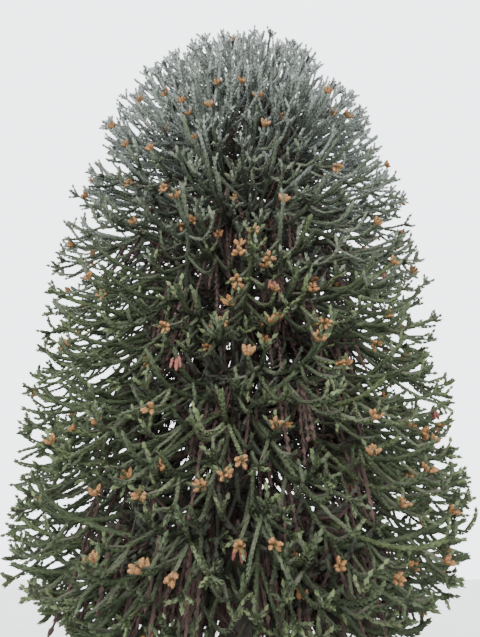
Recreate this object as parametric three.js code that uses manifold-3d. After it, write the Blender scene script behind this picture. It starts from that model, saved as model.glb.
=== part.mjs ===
// A monkey puzzle tree, 14 m tall: a tapering trunk with a flared foot, tiers of long boughs that
// sink and turn up again, and on each bough's end one mass of rope-like shoots. The highest mass
// sits on the trunk's tip. Millimetres, +Z up; the origin is the middle of the cut at ground level.
import * as THREE from "three";
import { mergeVertices } from "three/addons/utils/BufferGeometryUtils.js";
import Module from "manifold-3d";

const wasm = await Module();
wasm.setup();

// The crown's outline
const TREE_HEIGHT = 14000;
const CROWN_RADIUS = 3850;
const WIDEST_HEIGHT = 4500;
const SKIRT_HEIGHT = 450;
const DOME_POWER = 3.4;
const SKIRT_POWER = 6;

// The trunk
const TRUNK_TOP = 11700;
const TRUNK_RADIUS = 320;
const TRUNK_TOP_RADIUS = 62;
const TRUNK_LEAN = 80;
const TRUNK_TAPER = 0.85;
const FLARE = 150;
const FLARE_HEIGHT = 420;
const ROOTS = 5;
const ROOT_SWELL = 70;
const TRUNK_SIDES = 20;
const TRUNK_STEPS = 12;

// Tube radii of a bough, and of a mass's stem, side axes and shoots at root, middle and tip
const BOUGH_RADII = [80, 69, 60];
const STEM_RADII = [60, 56, 46];
const AXIS_RADII = [26, 56, 46];
const SHOOT_RADII = [24, 50, 44];
const BOUGH_SHARE = 0.36; // of the way from the trunk's middle to the tip, where the mass begins
const BOUGH_SIDES = 5;
const BOUGH_STEPS = 3;
const STAGGER = 175; // neighbouring boughs leave the trunk this much above one another
const ROPE_SIDES = 3;
const CLEARANCE = 0.3;
const SMALLEST_EDGE = 0.1;

// Leaves and cones stand for sprays and clusters, so they are larger than life
const LEAF_LENGTH = 280;
const LEAF_WIDTH = 78;
const LEAF_THICKNESS = 30;
const LEAF_ROOT = 36; // a tip's leaf is rooted this far back from it
const LEAF_SPREAD = 0.5;
const CONE_LENGTH = 180;
const CONE_WIDTH = 92;

// The sloping, wavy floors between the tiers: height at the trunk and at the crown's widest
// radius, and how far the rim waves up and down
const FLOORS = [
  { trunk: 1400, rim: 450, wave: 120 },
  { trunk: 3500, rim: 2500, wave: 360 },
  { trunk: 5600, rim: 4600, wave: 400 },
  { trunk: 7500, rim: 6700, wave: 400 },
  { trunk: 9300, rim: 8800, wave: 380 },
  { trunk: 10900, rim: 12000, wave: 250 },
];
const WAVES = 3; // round the crown
const GOLDEN = Math.PI * (3 - Math.sqrt(5));

// Each tier's boughs, how far their ring is turned as a share of one sector, how much an axis
// hooks up at its tip, and how steeply its shoots set off
const TIERS = [
  { name: "skirt", boughs: 6, turn: 0.5, hook: 300, slope: -0.4 },
  { name: "low", boughs: 6, turn: 0.0, hook: 300, slope: -0.45 },
  { name: "middle", boughs: 6, turn: 0.5, hook: 300, slope: -0.4 },
  { name: "high", boughs: 5, turn: 0.1, hook: 260, slope: -0.25 },
  { name: "shoulder", boughs: 5, turn: 0.6, hook: 240, slope: 0.15 },
];
const TOP = { name: "top", axes: 13, shoots: 1, hook: 220, slope: 0.8 };

// Where a mass's side axes end in its own space: across the sector and up the tier, each -1 to 1
const FORKS = [
  { across: -0.64, up: 0.74, from: 0.38, shoots: 1 },
  { across: 0.62, up: -0.7, from: 0.41, shoots: 1 },
  { across: -0.6, up: -0.7, from: 0.45, shoots: 1 },
  { across: 0.62, up: 0.74, from: 0.49, shoots: 1 },
];
const STEM_SHOOTS = 1;
const FORK_JITTER = 0.1;
const SPREADS = [1, 0.85, 0.7]; // an axis that would leave its space is tried again nearer the stem
const AXIS_STEPS = 4;
const SHOOT_STEPS = 2;
const ELBOW_ROOM = 190; // between the middles of two shoots that don't belong together
const SHOOT_LENGTH = 880;
const SHOOT_SPREAD = 0.88; // radians off the axis's own heading
const SHOOT_SAG = 0.15;
const SHOOT_LIFT = 0.32;
const SHOOT_BEND = 0.75;
const CONE_CHANCE = 0.11;

const BARK = new THREE.Color(0.2, 0.17, 0.15);
const BOUGH_BROWN = new THREE.Color(0.22, 0.16, 0.12);
const LEAF_GREEN = new THREE.Color(0.1, 0.15, 0.08);

const UP = new THREE.Vector3(0, 0, 1);
const FRONT = -Math.PI / 2;
const { lerp, clamp } = THREE.MathUtils;
const ease = (share) => share * share * (3 - 2 * share);

// Repeatable dice: each mass has its own seed
class Dice {
  constructor(seed) {
    this.state = 7919 * seed + 101;
    this.next();
    this.next();
  }
  next() {
    this.state = (this.state * 16807) % 2147483647;
    return this.state / 2147483647;
  }
  between(low, high) {
    return low + (high - low) * this.next();
  }
}

function crownRadius(height) {
  const above = height > WIDEST_HEIGHT;
  const edge = above ? TREE_HEIGHT : SKIRT_HEIGHT;
  const share = clamp((height - WIDEST_HEIGHT) / (edge - WIDEST_HEIGHT), 0, 1);
  return CROWN_RADIUS * Math.sqrt(1 - share ** (above ? DOME_POWER : SKIRT_POWER));
}

function floorHeight(tier, radius, angle) {
  if (tier >= FLOORS.length) return TREE_HEIGHT * 2;
  const { trunk, rim, wave } = FLOORS[tier];
  const waved = rim + wave * Math.sin(WAVES * angle + GOLDEN * tier);
  return lerp(trunk, waved, ease(Math.min(radius / CROWN_RADIUS, 1)));
}

const trunkRadius = (height) =>
  lerp(TRUNK_RADIUS, TRUNK_TOP_RADIUS, (height / TRUNK_TOP) ** TRUNK_TAPER) +
  FLARE * Math.exp(-height / FLARE_HEIGHT);

const rootSwell = (angle, height) =>
  ROOT_SWELL * Math.exp(-height / FLARE_HEIGHT) * Math.cos(ROOTS * angle);

const trunkShift = (height) => TRUNK_LEAN * (height / TRUNK_TOP) ** 2;

// The smallest turn from one angle to another
const turnTo = (from, to) => Math.atan2(Math.sin(to - from), Math.cos(to - from));

// True where a ball at this point lies inside the mass's own space
function inSpace(space, point, margin) {
  const radius = Math.hypot(point.x, point.y);
  const angle = Math.atan2(point.y, point.x);
  if (radius + margin > crownRadius(point.z)) return false;
  if (point.z - margin < floorHeight(space.tier, radius, angle)) return false;
  if (point.z + margin > floorHeight(space.tier + 1, radius, angle)) return false;
  if (radius < trunkRadius(point.z) + margin + 2 * TRUNK_LEAN && point.z < TRUNK_TOP) return false;
  const off = space.half - Math.abs(turnTo(space.angle, angle));
  return space.half >= Math.PI || radius * Math.sin(Math.min(off, Math.PI / 2)) > margin;
}

// The point on the crown's outline across and up a space, each -1 to 1, as a share of its reach
function outlinePoint(space, across, up, reach) {
  const angle = space.angle + space.half * across;
  let radius = CROWN_RADIUS * 0.9;
  let height = 0;
  for (let pass = 0; pass < 30; pass += 1) {
    const low = floorHeight(space.tier, radius, angle);
    const high = Math.min(floorHeight(space.tier + 1, radius, angle), TREE_HEIGHT);
    height = lerp(low, high, 0.5 + 0.5 * up);
    radius = lerp(radius, crownRadius(height) * reach, 0.5);
  }
  return { radius, height, angle };
}

// A line from one place to another: a bough's or axis's runs level, sinks or climbs, and hooks up
// at its tip; a plumb one goes straight
class BoughLine extends THREE.Curve {
  constructor(base, tip, hook, plumb = false) {
    super();
    Object.assign(this, { base, tip, hook, plumb });
  }
  getPoint(share, target = new THREE.Vector3()) {
    const radius = lerp(this.base.radius, this.tip.radius, share);
    const turn = turnTo(this.base.angle, this.tip.angle) * (1 - (1 - share) ** 2);
    const angle = this.base.angle + turn;
    const along = this.plumb ? share : ease(share);
    const height =
      lerp(this.base.height, this.tip.height - this.hook, along) + this.hook * share ** 6;
    const shift = this.base.shift * (1 - share);
    return target.set(radius * Math.cos(angle) + shift, radius * Math.sin(angle), height);
  }
}

// A side shoot's line: it sets off sideways, swings outward, sags and lifts its tip
class ShootLine extends THREE.Curve {
  constructor(root, heading, side, length, slope) {
    super();
    this.aside = new THREE.Vector3(Math.cos(heading + side), Math.sin(heading + side), 0);
    this.outward = new THREE.Vector3(Math.cos(heading), Math.sin(heading), 0);
    Object.assign(this, { root, length, slope });
  }
  getPoint(share, target = new THREE.Vector3()) {
    const swung = 0.5 * SHOOT_BEND * share * share;
    const height =
      this.slope * share - SHOOT_SAG * Math.sin(Math.PI * share) + SHOOT_LIFT * share ** 4;
    return target
      .copy(this.root)
      .addScaledVector(this.aside, this.length * (share - swung))
      .addScaledVector(this.outward, this.length * swung)
      .addScaledVector(UP, this.length * height);
  }
}

// The level direction square to a line's own
function levelSide(along) {
  const aside = new THREE.Vector3(-along.y, along.x, 0);
  return aside.lengthSq() > 1e-9 ? aside.normalize() : aside.set(0, 1, 0);
}

const placeOf = (point) => ({
  radius: Math.hypot(point.x, point.y),
  angle: Math.atan2(point.y, point.x),
  height: point.z,
  shift: 0,
});

// A closed tube: a regular section is extruded in even steps, and pointAt puts each corner in place
function tube(sides, steps, pointAt) {
  const corners = Array.from({ length: sides }, (_, k) => {
    const angle = (k / sides) * 2 * Math.PI - Math.PI / 2;
    return new THREE.Vector2(Math.cos(angle), Math.sin(angle));
  });
  const section = new THREE.Shape(corners);
  const geometry = new THREE.ExtrudeGeometry(section, { depth: 1, steps, bevelEnabled: false });
  const places = geometry.attributes.position;
  for (let i = 0; i < places.count; i += 1) {
    const point = pointAt(places.getX(i), places.getY(i), places.getZ(i));
    places.setXYZ(i, point.x, point.y, point.z);
  }
  return geometry;
}

// The radius at a share of a limb's length, from its root over its middle to its tip
const limbRadius = ([root, middle, tip], share) =>
  share < 0.5 ? lerp(root, middle, 2 * share) : lerp(middle, tip, 2 * share - 1);

// A tapering limb along part of a line, its section square to the line at every step
function limb(line, from, to, radii, sides, steps) {
  return tube(sides, steps, (x, y, share) => {
    const at = lerp(from, to, share);
    const along = line.getTangent(at);
    const aside = levelSide(along);
    const over = new THREE.Vector3().crossVectors(along, aside);
    const radius = limbRadius(radii, share);
    return line.getPoint(at).addScaledVector(aside, x * radius).addScaledVector(over, y * radius);
  });
}

// A leaf of eight faces from its root along a direction, widest below its middle
function leaf(root, direction, length) {
  const aside = levelSide(direction);
  const over = new THREE.Vector3().crossVectors(direction, aside);
  const geometry = new THREE.OctahedronGeometry(1, 0);
  const places = geometry.attributes.position;
  for (let i = 0; i < places.count; i += 1) {
    const along = places.getZ(i) === 0 ? 0.4 : 0.5 + 0.5 * places.getZ(i);
    const point = root
      .clone()
      .addScaledVector(direction, along * length)
      .addScaledVector(aside, (places.getX(i) * LEAF_WIDTH) / 2)
      .addScaledVector(over, (places.getY(i) * LEAF_THICKNESS) / 2);
    places.setXYZ(i, point.x, point.y, point.z);
  }
  return geometry;
}

function cone(middle, direction) {
  const geometry = new THREE.OctahedronGeometry(1, 0);
  geometry.scale(CONE_WIDTH / 2, CONE_LENGTH / 2, CONE_WIDTH / 2);
  geometry.applyQuaternion(
    new THREE.Quaternion().setFromUnitVectors(new THREE.Vector3(0, 1, 0), direction),
  );
  return geometry.translate(middle.x, middle.y, middle.z);
}

function solidOf(geometry) {
  const bare = geometry.clone();
  bare.deleteAttribute("normal");
  bare.deleteAttribute("uv");
  const merged = mergeVertices(bare, 0.01);
  return new wasm.Manifold(
    new wasm.Mesh({
      numProp: 3,
      vertProperties: merged.attributes.position.array,
      triVerts: new Uint32Array(merged.index.array),
    }),
  );
}

function geometryOf(solid) {
  const { vertProperties, triVerts } = solid.getMesh();
  const geometry = new THREE.BufferGeometry();
  geometry.setAttribute("position", new THREE.BufferAttribute(vertProperties, 3));
  geometry.setIndex(new THREE.BufferAttribute(triVerts, 1));
  geometry.computeVertexNormals();
  return geometry;
}

// One body from many: what they enclose is joined, and a loose scrap is dropped
function fuse(geometries) {
  const joined = wasm.Manifold.union(geometries.map(solidOf)).simplify(SMALLEST_EDGE);
  return joined.decompose().sort((a, b) => b.volume() - a.volume())[0];
}

function trunkGeometry(extra) {
  return tube(TRUNK_SIDES, TRUNK_STEPS, (x, y, share) => {
    const height = TRUNK_TOP * share ** 2;
    const angle = Math.atan2(y, x);
    const radius = trunkRadius(height) + rootSwell(angle, height) + extra;
    return new THREE.Vector3(trunkShift(height) + radius * x, radius * y, height);
  });
}

const fits = (space, line, margin) =>
  [0.25, 0.4, 0.55, 0.7, 0.85, 1].every((at) => inSpace(space, line.getPoint(at), margin));

// A leaf that parts from a rope's tip to one side, and now and then a cone on it
function tipSprays(space, line, dice) {
  const along = line.getTangent(1);
  const root = line.getPoint(1 - LEAF_ROOT / line.getLength());
  const aside = levelSide(along);
  const over = new THREE.Vector3().crossVectors(along, aside);
  const made = [];
  const side = dice.next() < 0.5 ? -1 : 1;
  const spread = LEAF_SPREAD * dice.between(0.6, 1.1);
  const direction = along.clone().addScaledVector(aside, side * spread);
  direction.addScaledVector(over, 0.5 * spread).normalize();
  const length = LEAF_LENGTH * dice.between(0.8, 1.1);
  const tip = root.clone().addScaledVector(direction, length);
  if (inSpace(space, tip, 1)) made.push(leaf(root, direction, length));
  if (dice.next() < CONE_CHANCE) {
    const middle = root.clone().addScaledVector(along, CONE_LENGTH * 0.3);
    if (inSpace(space, middle, CONE_LENGTH)) made.push(cone(middle, along));
  }
  return made;
}

const pointsOf = (line, from) =>
  Array.from({ length: 13 }, (_, i) => line.getPoint(lerp(from, 1, i / 12)));

// True where a shoot comes too near to one of the lines that stand already
const crowded = (shoot, standing) =>
  pointsOf(shoot, 0.45).some((point) =>
    standing.some((other) => other.distanceToSquared(point) < ELBOW_ROOM ** 2),
  );

// The side shoots of one axis, left or right of it, shorter towards its tip
function axisShoots(space, { line, from, shoots }, tier, standing, dice) {
  const made = [];
  for (let i = 0; i < shoots; i += 1) {
    const at = lerp(Math.max(from, 0.5), 0.92, (i + dice.between(0.2, 0.8)) / shoots);
    const root = line.getPoint(at);
    const along = line.getTangent(at);
    const side = (dice.next() < 0.5 ? 1 : -1) * SHOOT_SPREAD * dice.between(0.8, 1.15);
    const longest = SHOOT_LENGTH * lerp(1.15, 0.6, at) * dice.between(0.85, 1.15);
    const heading = Math.atan2(along.y, along.x);
    for (const share of [1, -1, 0.75, -0.75, 0.55, -0.55]) {
      const off = side * Math.sign(share);
      const shoot = new ShootLine(root, heading, off, longest * Math.abs(share), tier.slope);
      if (!fits(space, shoot, SHOOT_RADII[1]) || crowded(shoot, standing)) continue;
      standing.push(...pointsOf(shoot, 0));
      made.push(limb(shoot, 0, 1, SHOOT_RADII, ROPE_SIDES, SHOOT_STEPS));
      made.push(...tipSprays(space, shoot, dice));
      break;
    }
  }
  return made;
}

// One mass: the stem that goes on from its bough, its side axes, and the shoots of them all
function massGeometry(space, tier, stem, from, forks, dice) {
  const gap = CLEARANCE / stem.getLength();
  const parts = [limb(stem, from + gap, 1, STEM_RADII, ROPE_SIDES, AXIS_STEPS)];
  const axes = [{ line: stem, from, shoots: STEM_SHOOTS }];
  for (const fork of forks) {
    const base = placeOf(stem.getPoint(fork.from));
    const lines = fork.tips.map((tip) => new BoughLine(base, tip, tier.hook));
    const line = lines.find((tried) => fits(space, tried, AXIS_RADII[1]));
    if (!line) continue;
    parts.push(limb(line, 0, 1, AXIS_RADII, ROPE_SIDES, AXIS_STEPS));
    axes.push({ line, from: 0.3, shoots: fork.shoots });
  }
  const standing = axes.flatMap((axis) => pointsOf(axis.line, 0));
  for (const axis of axes) {
    parts.push(...tipSprays(space, axis.line, dice));
    parts.push(...axisShoots(space, axis, tier, standing, dice));
  }
  return geometryOf(fuse(parts));
}

const tree = new THREE.Group();

function addNode(name, geometry, color, roughness) {
  const material = new THREE.MeshStandardMaterial({ color, roughness, metalness: 0 });
  const mesh = new THREE.Mesh(geometry, material);
  mesh.name = name;
  tree.add(mesh);
}

// The boughs and masses of one tier, each in its own sector
function addTier(tier, index, clearOfTrunk) {
  const half = Math.PI / tier.boughs;
  for (let i = 0; i < tier.boughs; i += 1) {
    const dice = new Dice(100 * (index + 1) + i);
    const angle = FRONT + 2 * half * (i + tier.turn);
    const space = { tier: index, angle, half };
    const level = (FLOORS[index].trunk + FLOORS[index + 1].trunk) / 2;
    const height = level + STAGGER * ((i % 3) - 1);
    const foot = { radius: 0, angle, height, shift: trunkShift(height) };
    const tip = outlinePoint(space, dice.between(-0.12, 0.12), 0, dice.between(0.93, 0.97));
    const line = new BoughLine(foot, tip, tier.hook);
    const bough = limb(line, 0, BOUGH_SHARE, BOUGH_RADII, BOUGH_SIDES, BOUGH_STEPS);
    const cut = solidOf(bough).subtract(clearOfTrunk).simplify(SMALLEST_EDGE);
    const outer = cut.decompose().sort((a, b) => b.volume() - a.volume())[0];
    addNode(`bough_${tier.name}_${i + 1}`, geometryOf(outer), BOUGH_BROWN, 0.95);
    const jitter = () => dice.between(-FORK_JITTER, FORK_JITTER);
    const mirror = dice.next() < 0.5 ? -1 : 1;
    const forks = FORKS.map((fork) => {
      const across = mirror * fork.across + jitter();
      const up = fork.up + jitter();
      const reach = dice.between(0.9, 0.97);
      const tips = SPREADS.map((share) => outlinePoint(space, share * across, share * up, reach));
      return { ...fork, tips };
    });
    const mass = massGeometry(space, tier, line, BOUGH_SHARE, forks, dice);
    addNode(`foliage_${tier.name}_${i + 1}`, mass, LEAF_GREEN, 0.8);
  }
}

// The highest mass, on the trunk's tip: axes fan out from its stem to the dome
function addTop() {
  const dice = new Dice(900);
  const space = { tier: TIERS.length, angle: 0, half: Math.PI };
  const foot = { radius: TRUNK_LEAN, angle: 0, height: TRUNK_TOP, shift: 0 };
  const tip = { ...foot, height: TREE_HEIGHT - LEAF_LENGTH };
  const stem = new BoughLine(foot, tip, 0, true);
  const forks = Array.from({ length: TOP.axes }, (_, i) => {
    const up = lerp(-0.75, 0.72, (i + 0.5) / TOP.axes);
    const point = outlinePoint({ ...space, angle: GOLDEN * i }, 0, up, dice.between(0.9, 0.96));
    return { from: lerp(0.1, 0.5, (i + 0.5) / TOP.axes), tips: [point], shoots: TOP.shoots };
  });
  addNode("foliage_top", massGeometry(space, TOP, stem, 0, forks, dice), LEAF_GREEN, 0.8);
}

addNode("trunk", trunkGeometry(0), BARK, 0.95);
const clearOfTrunk = solidOf(trunkGeometry(CLEARANCE));
TIERS.forEach((tier, index) => addTier(tier, index, clearOfTrunk));
addTop();

export default tree;
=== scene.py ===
"""A monkey puzzle tree seen from near its foot: bark, boughs, rope-like leafy shoots and cones."""
import math

import bpy
import numpy as np
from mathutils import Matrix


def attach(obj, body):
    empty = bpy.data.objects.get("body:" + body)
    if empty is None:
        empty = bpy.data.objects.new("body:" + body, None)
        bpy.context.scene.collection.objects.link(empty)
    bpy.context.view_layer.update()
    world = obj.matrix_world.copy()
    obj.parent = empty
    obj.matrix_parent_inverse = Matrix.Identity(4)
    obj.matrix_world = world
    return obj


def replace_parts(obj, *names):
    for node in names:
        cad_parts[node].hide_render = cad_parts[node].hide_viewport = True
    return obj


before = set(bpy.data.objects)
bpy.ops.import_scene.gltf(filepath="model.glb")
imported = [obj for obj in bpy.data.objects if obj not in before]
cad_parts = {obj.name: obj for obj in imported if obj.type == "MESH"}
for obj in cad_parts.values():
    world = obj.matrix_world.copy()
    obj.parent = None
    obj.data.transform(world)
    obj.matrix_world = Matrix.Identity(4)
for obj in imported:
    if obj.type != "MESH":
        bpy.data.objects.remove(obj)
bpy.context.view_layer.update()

# The tree's own sizes, in millimetres, as its solids have them
TREE_HEIGHT = 14000
CROWN_RADIUS = 3850
WIDEST_HEIGHT = 4500
SKIRT_HEIGHT = 450
DOME_POWER = 3.4
SKIRT_POWER = 6
TRUNK_TOP = 11700
TRUNK_RADIUS = 320
TRUNK_TOP_RADIUS = 62
TRUNK_LEAN = 80
TRUNK_TAPER = 0.85
FLARE = 150
FLARE_HEIGHT = 420
ROOTS = 5
ROOT_SWELL = 70
BOUGH_RADII = (80, 69, 60)
BOUGH_SHARE = 0.36
STAGGER = 175
AXIS_MARGIN = 56
SHOOT_MARGIN = 50
LEAF_LENGTH = 280
LEAF_ROOT = 36
LEAF_SPREAD = 0.5
CONE_LENGTH = 180
FLOORS = (  # of each tier and the top: height at the trunk, at the rim, and its waves
    (1400, 450, 120),
    (3500, 2500, 360),
    (5600, 4600, 400),
    (7500, 6700, 400),
    (9300, 8800, 380),
    (10900, 12000, 250),
)
WAVES = 3
TIERS = (  # name, boughs, turn, hook and slope of the shoots
    ("skirt", 6, 0.5, 300, -0.4),
    ("low", 6, 0.0, 300, -0.45),
    ("middle", 6, 0.5, 300, -0.4),
    ("high", 5, 0.1, 260, -0.25),
    ("shoulder", 5, 0.6, 240, 0.15),
)
TOP_AXES = 13
TOP_HOOK = 220
TOP_SLOPE = 0.8
FORKS = (  # of each main bough: across and up its space, and where they leave its stem
    (-0.64, 0.74, 0.38),
    (0.62, -0.7, 0.41),
    (-0.6, -0.7, 0.45),
    (0.62, 0.74, 0.49),
)
FORK_JITTER = 0.1
SPREADS = (1, 0.85, 0.7)
ELBOW_ROOM = 190
SHOOT_LENGTH = 880
SHOOT_SPREAD = 0.88
SHOOT_SAG = 0.15
SHOOT_LIFT = 0.32
SHOOT_BEND = 0.75
CONE_CHANCE = 0.11
LEAF_SPREADS = (0.6, 1.1)
LEAF_LENGTHS = (0.8, 1.1)
LEAF_RISE = 0.1
HOOK_POWER = 6  # how late a bough's tip hooks up
SHOOT_POWER = 4  # and a shoot's
SHOOT_PLACES = (0.5, 0.92)  # along its axis
SHOOT_SIZES = (1.15, 0.6)  # at the axis's root and tip
SHOOT_SHARES = (1, -1, 0.75, -0.75, 0.55, -0.55)  # of its length, tried in turn on both sides
STEM_SPREAD = 0.12  # how far a stem's tip may be off the middle of its space
STEM_REACH = (0.93, 0.97)  # of the crown's radius
FORK_REACH = (0.9, 0.97)
TOP_REACH = (0.9, 0.96)
TOP_SPREAD = (-0.75, 0.72)  # up the top's space, from its lowest axis to its highest
TOP_FORKS = (0.1, 0.5)  # along its stem
GOLDEN = math.pi * (3 - math.sqrt(5))
FRONT = -math.pi / 2

# The finer growth that the solids leave out: rows of numbers are for the tiers, and a sixth for the top
SEAM = 520  # how far it may reach over the seams between two spaces
LESSER_BOUGHS = ((-0.5, 0.6), (0.52, -0.55), (-0.54, -0.58), (0.5, 0.56))  # across and up a space
LESSER_JITTER = 0.12
LESSER_SHARE = 0.27
LESSER_SIZE = 0.68  # of a main bough's thickness
SEAM_SIZE = 0.85
COLLAR_SIZE = 0.6
FINE_AXES = (12, 12, 10, 11, 15)  # in each mass
FINE_TOP_AXES = 80
FINE_SPREAD = 0.92  # of a space, how far their tips spread
FINE_FORKS = (0.2, 0.62)  # along their stem
FINE_TOP_FORKS = (0.03, 0.6)
LEAST_REACH = (0.8, 0.8, 0.8, 0.88, 0.92, 0.82)  # of the crown's radius
MOST_REACH = 0.98
DROOPS = (0.5, 0.5, 0.45, 0.2, -0.05, 0.35)  # how far the finer axes sink, in half heights of a space
FINE_ELBOW_ROOMS = (130, 170, 195, 185, 140, 120)
FINE_SLOPES = (-1.0, -0.4)  # of the finer shoots where the solids' shoots sink
CLIMB = (-0.4, 0.3)  # and off the slope of the solids' shoots where they climb
FINE_TURNS = (0.4, 0.9)  # of the solids' sideways turn
FINE_LIFTS = (-0.12, 0.22)
FINE_POWER = 6  # how late their tips lift
FINE_SIZES = (1.5, 0.55)  # of the solids' shoots, at an axis's start and at its tip
FINE_SHARES = (1, 0.7, 0.45)  # of that length, tried in turn
PAIRS = (0.22, 0.94)  # where the pairs of shoots begin and end, along an axis
PAIR_STEPS = (600, 620, 640, 540, 360, 250)  # between two pairs
PRONG_CHANCE = 0.5
PRONG_LENGTHS = (100, 165)
PRONG_SPREADS = (0.6, 1.1)
PRONG_RISE = 0.15
PRONG_PAST = 90  # how far they may stand out past the crown's outline
PRONG_SHARE = 0.5  # of the length of the solids' leaf
FINE_CONES = 0.1
OLD_CONES = 0.016
OLD_CONE_TOP = 8600  # no spent cones show above
BEARING = (1500, 10000)  # the heights between which most cones are
BARREN = 0.3  # the share of cones below and above
CLUSTERS = {  # of fresh and spent cones: the fewest, the more there may be, off the tip and out from it
    False: (5, 3, 12, (40, 70)),
    True: (3, 2, 35, (70, 110)),
}
CONE_SPREADS = (0.4, 1.2)
SPENT_SPREAD = 0.25
CONE_SIZES = (0.85, 1.15)
HANGING = np.array([0.0, 0.0, -1.0])
COLLARS = (  # over each tier: height at the trunk, rise to the rim, boughs, lowest and highest shoot slope
    (3400, -950, 7, (-1.1, -0.2)),
    (5450, -950, 10, (-1.1, -0.2)),
    (7500, -800, 10, (-1.0, 0.2)),
    (9150, -250, 30, (-1.0, 0.7)),
    (11150, 350, 30, (-0.6, 1.0)),
)
COLLAR_HOOK = 200
COLLAR_REACH = (0.89, 0.98)
COLLAR_JITTER = (450, 400)  # of the height at the trunk and of the rise
COLLAR_SHARES = (0.18, 0.2, 0.22)  # where its leaves start, its shoots start and its bark ends
SEAM_FEET = (0.3, 0.6)  # the heights at which seam boughs leave the trunk, up their tier
SEAM_TURN = 0.1
SEAM_ACROSS = 0.15
SEAM_UP = (-0.1, 0.4)
SEAM_REACH = (0.94, 0.98)
LADEN_BOUGH = ("middle", 0)  # the seam bough that comes straight at the viewer, full of cones
LADEN = 11  # how many times more cones it has
LADEN_STEP = 200
LADEN_FOOT = 5350
LADEN_TURN = 1.6
INNER_ROPES = (116, 136, 156, 172, 184, 170)  # in each mass
INNER_REACH = (0.66, 0.6, 0.54, 0.54, 0.58, 0.75)  # of the crown's radius, where they end at most
INNER_FEET = (0.12, 0.46)  # along the axes
INNER_TURN = 1.9
INNER_LENGTHS = (500, 1150)
INNER_SLOPES = (-0.9, 0.5)
INNER_LIFT = 0.1
DEAD_OF_FIVE = (1, 3)
DRY_ROPES = (84, 44, 40, 34)  # hanging in each mass of the lower tiers
DRY_FOOT = 0.11  # along the axes, the nearest to the trunk
DRY_REACH = (0.55, 0.46, 0.42, 0.4)  # and the farthest
DRY_BELOW = (1150, 700, 700, 700)  # how far they may hang under the crown's lower edge
DRY_TURN = 0.8
DRY_LEANS = (0.05, 0.3)
DRY_LENGTHS = (500, 1500)
DRY_BEND = 0.12
GROUND_ROOM = 250

# How a place on the outline and a line's room are found, and the seeds of the dice
FIRST_REACH = 0.9
OUTLINE_ROUNDS = 30
TEST_PLACES = 13  # along a line
TEST_FROM = 0.45  # along a new shoot
TIER_SEEDS = 100
FINE_SEED = 5000
SEAM_SEED = 7000
COLLAR_SEED = 8000
TOP_SEED = 900
COLOUR_SEED = 77

# The meshes and their finishes
ROPE_PLACES = 61
CORE_RADIUS = 27
CORE_SIDES = 3
CORE_WIDEST = 0.25  # along a rope
LEAF_STEP = 68
LEAVES_ROUND = 4
ROPES = {  # how each kind is dressed: core step and radii, leaf step, leaves round it and their size
    "axis": (240, (44, 40, 24), LEAF_STEP * 1.1, LEAVES_ROUND + 1, 1.3),
    "branch": (300, (34, 33, 22), LEAF_STEP * 1.08, LEAVES_ROUND, 1.14),
    "shoot": (220, (20, 25, 18), LEAF_STEP * 0.95, LEAVES_ROUND, 0.9),
    "prong": (200, (24, 22, 15), LEAF_STEP * 0.9, LEAVES_ROUND - 1, 0.97),
    "shade": (300, (22, 30, 22), 125, 4, 1.25),
    "dry": (300, (21, 26, 17), 130, 3, 1.2),
}
ROPE_TURN = 2.399  # from one rope's first leaf to the next rope's
RING_TURN = 0.52  # from one ring of leaves to the next
# Painted haze: high up and at the rim the leaves take paler, bluish greens that stand for the bright sky's
# glare, not their own colour
HAZE_FOOT = 4500  # the height from which the painted haze turns the greens paler and greyer
HAZE_RISE = 7000
HAZE_GREYS = ((0.85, "mist"), (0.55, "grey"), (0.25, "sage"))  # from which share of that rise
DEEP_SHARE = 0.55  # of the crown's radius, the shade inside, painted into the leaves there as a darker green
DEEP_TOP = 0.8
FRESH_PRONGS = 0.5
FRESH_ROPES = 0.14
FRESH_LADEN = 0.4
SCALE_LENGTH = 86
SCALE_WIDTH = 56
SCALE_TILT = 0.14
SCALE_BELLY = 0.34  # of its length, where a leaf is widest
SCALE_FOLD = 0.3
CONE_RINGS = 5
CONE_FACETS = 5
CONE_GIRTH = 0.26
CONE_BODIES = {False: (120, 120, 122), True: (105, 105, 165)}  # fresh and spent: across, across, along
TRUNK_RELIEFS = (("VORONOI", 0.09, 22), ("CLOUDS", 0.25, 26))
RELIEF_FLOOR = 5  # above the ground, where the trunk's relief starts
RELIEF_RISE = 60
BARK_SIDES = 56
BARK_RINGS = 110
RING_CROWDING = 1.4  # more rings near the ground
BLANK_SIDES = 8
BLANK_RINGS = 12
BLANK_LENGTH = 1000
BOUGH_PLACES = 17
BOUGH_SUNK = 0.6  # of the trunk's radius, where a bough starts in it
SHEEN = 0.25
NOISE_DETAIL = 3
BUMP_DEPTH = 0.01
PIECE_TRIANGLES = 190000
SLICE = 0.4  # the levels, in metres, that part a piece with more
METRE = 0.001


def lerp(a, b, share):
    return a + (b - a) * share


def ease(share):
    return share * share * (3 - 2 * share)


class Dice:
    """The same repeatable dice as the solids are made with."""

    def __init__(self, seed):
        self.state = 7919 * seed + 101
        self.next()
        self.next()

    def next(self):
        self.state = (self.state * 16807) % 2147483647
        return self.state / 2147483647

    def between(self, low, high):
        return low + (high - low) * self.next()


# The crown's outline and the spaces in it

def crown_radius(height):
    height = np.asarray(height, float)
    above = height > WIDEST_HEIGHT
    edge = np.where(above, TREE_HEIGHT, SKIRT_HEIGHT)
    share = np.clip((height - WIDEST_HEIGHT) / (edge - WIDEST_HEIGHT), 0, 1)
    return CROWN_RADIUS * np.sqrt(1 - share ** np.where(above, DOME_POWER, SKIRT_POWER))


def floor_height(tier, radius, angle):
    radius = np.asarray(radius, float)
    if tier >= len(FLOORS):
        return np.full_like(radius, TREE_HEIGHT * 2)
    trunk, rim, wave = FLOORS[tier]
    waved = rim + wave * np.sin(WAVES * angle + GOLDEN * tier)
    return lerp(trunk, waved, ease(np.minimum(radius / CROWN_RADIUS, 1)))


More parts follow.
